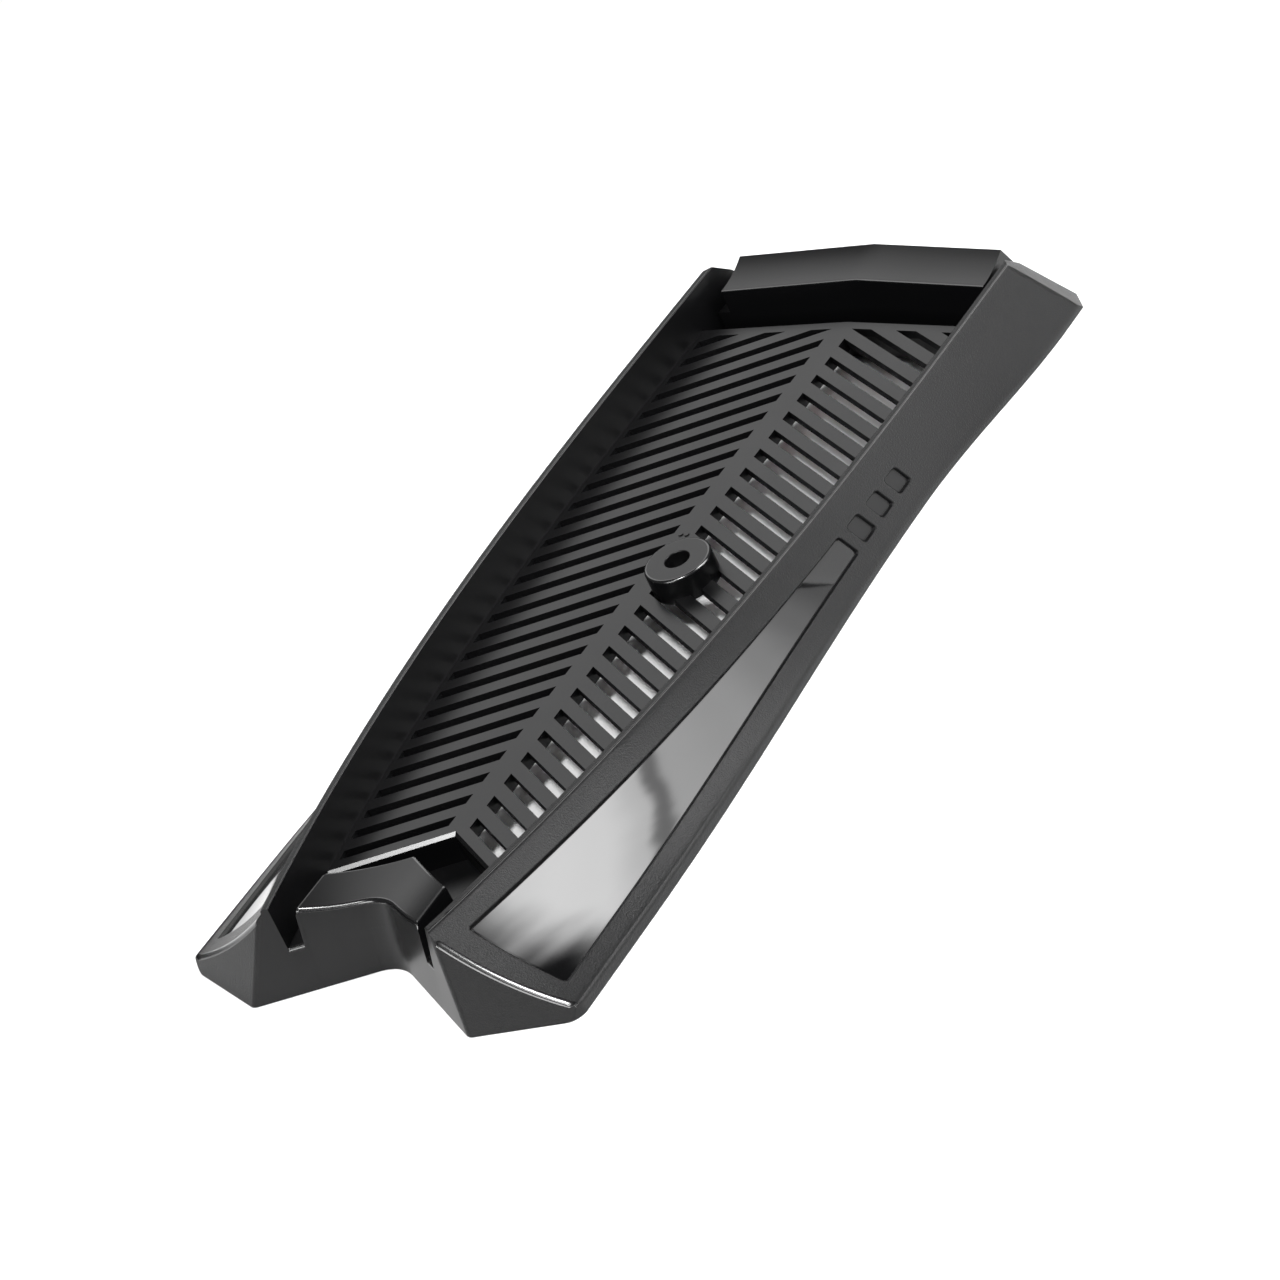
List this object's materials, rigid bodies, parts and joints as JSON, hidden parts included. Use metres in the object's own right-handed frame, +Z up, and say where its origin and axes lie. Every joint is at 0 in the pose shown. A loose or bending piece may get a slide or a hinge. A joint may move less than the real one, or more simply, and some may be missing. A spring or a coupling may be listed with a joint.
{
  "type": "console stand",
  "caption": "Vertical stand for a game console: a slotted tray between curved walls that flare out into wings, with a screw boss in the tray.",
  "frame": {"origin": "centre of the footprint's bounding box, on the surface that the stand rests on", "axes": "+X across the channel, +Y along it towards the pointed far wall, +Z up"},
  "size_m": [0.1362, 0.3311, 0.0258],
  "materials": {
    "moulding": "fine matt texture, with a polished floor in the long recess of each wing"
  },
  "bodies": {
    "root": {"console_stand": "moulding"}
  },
  "joints": []
}
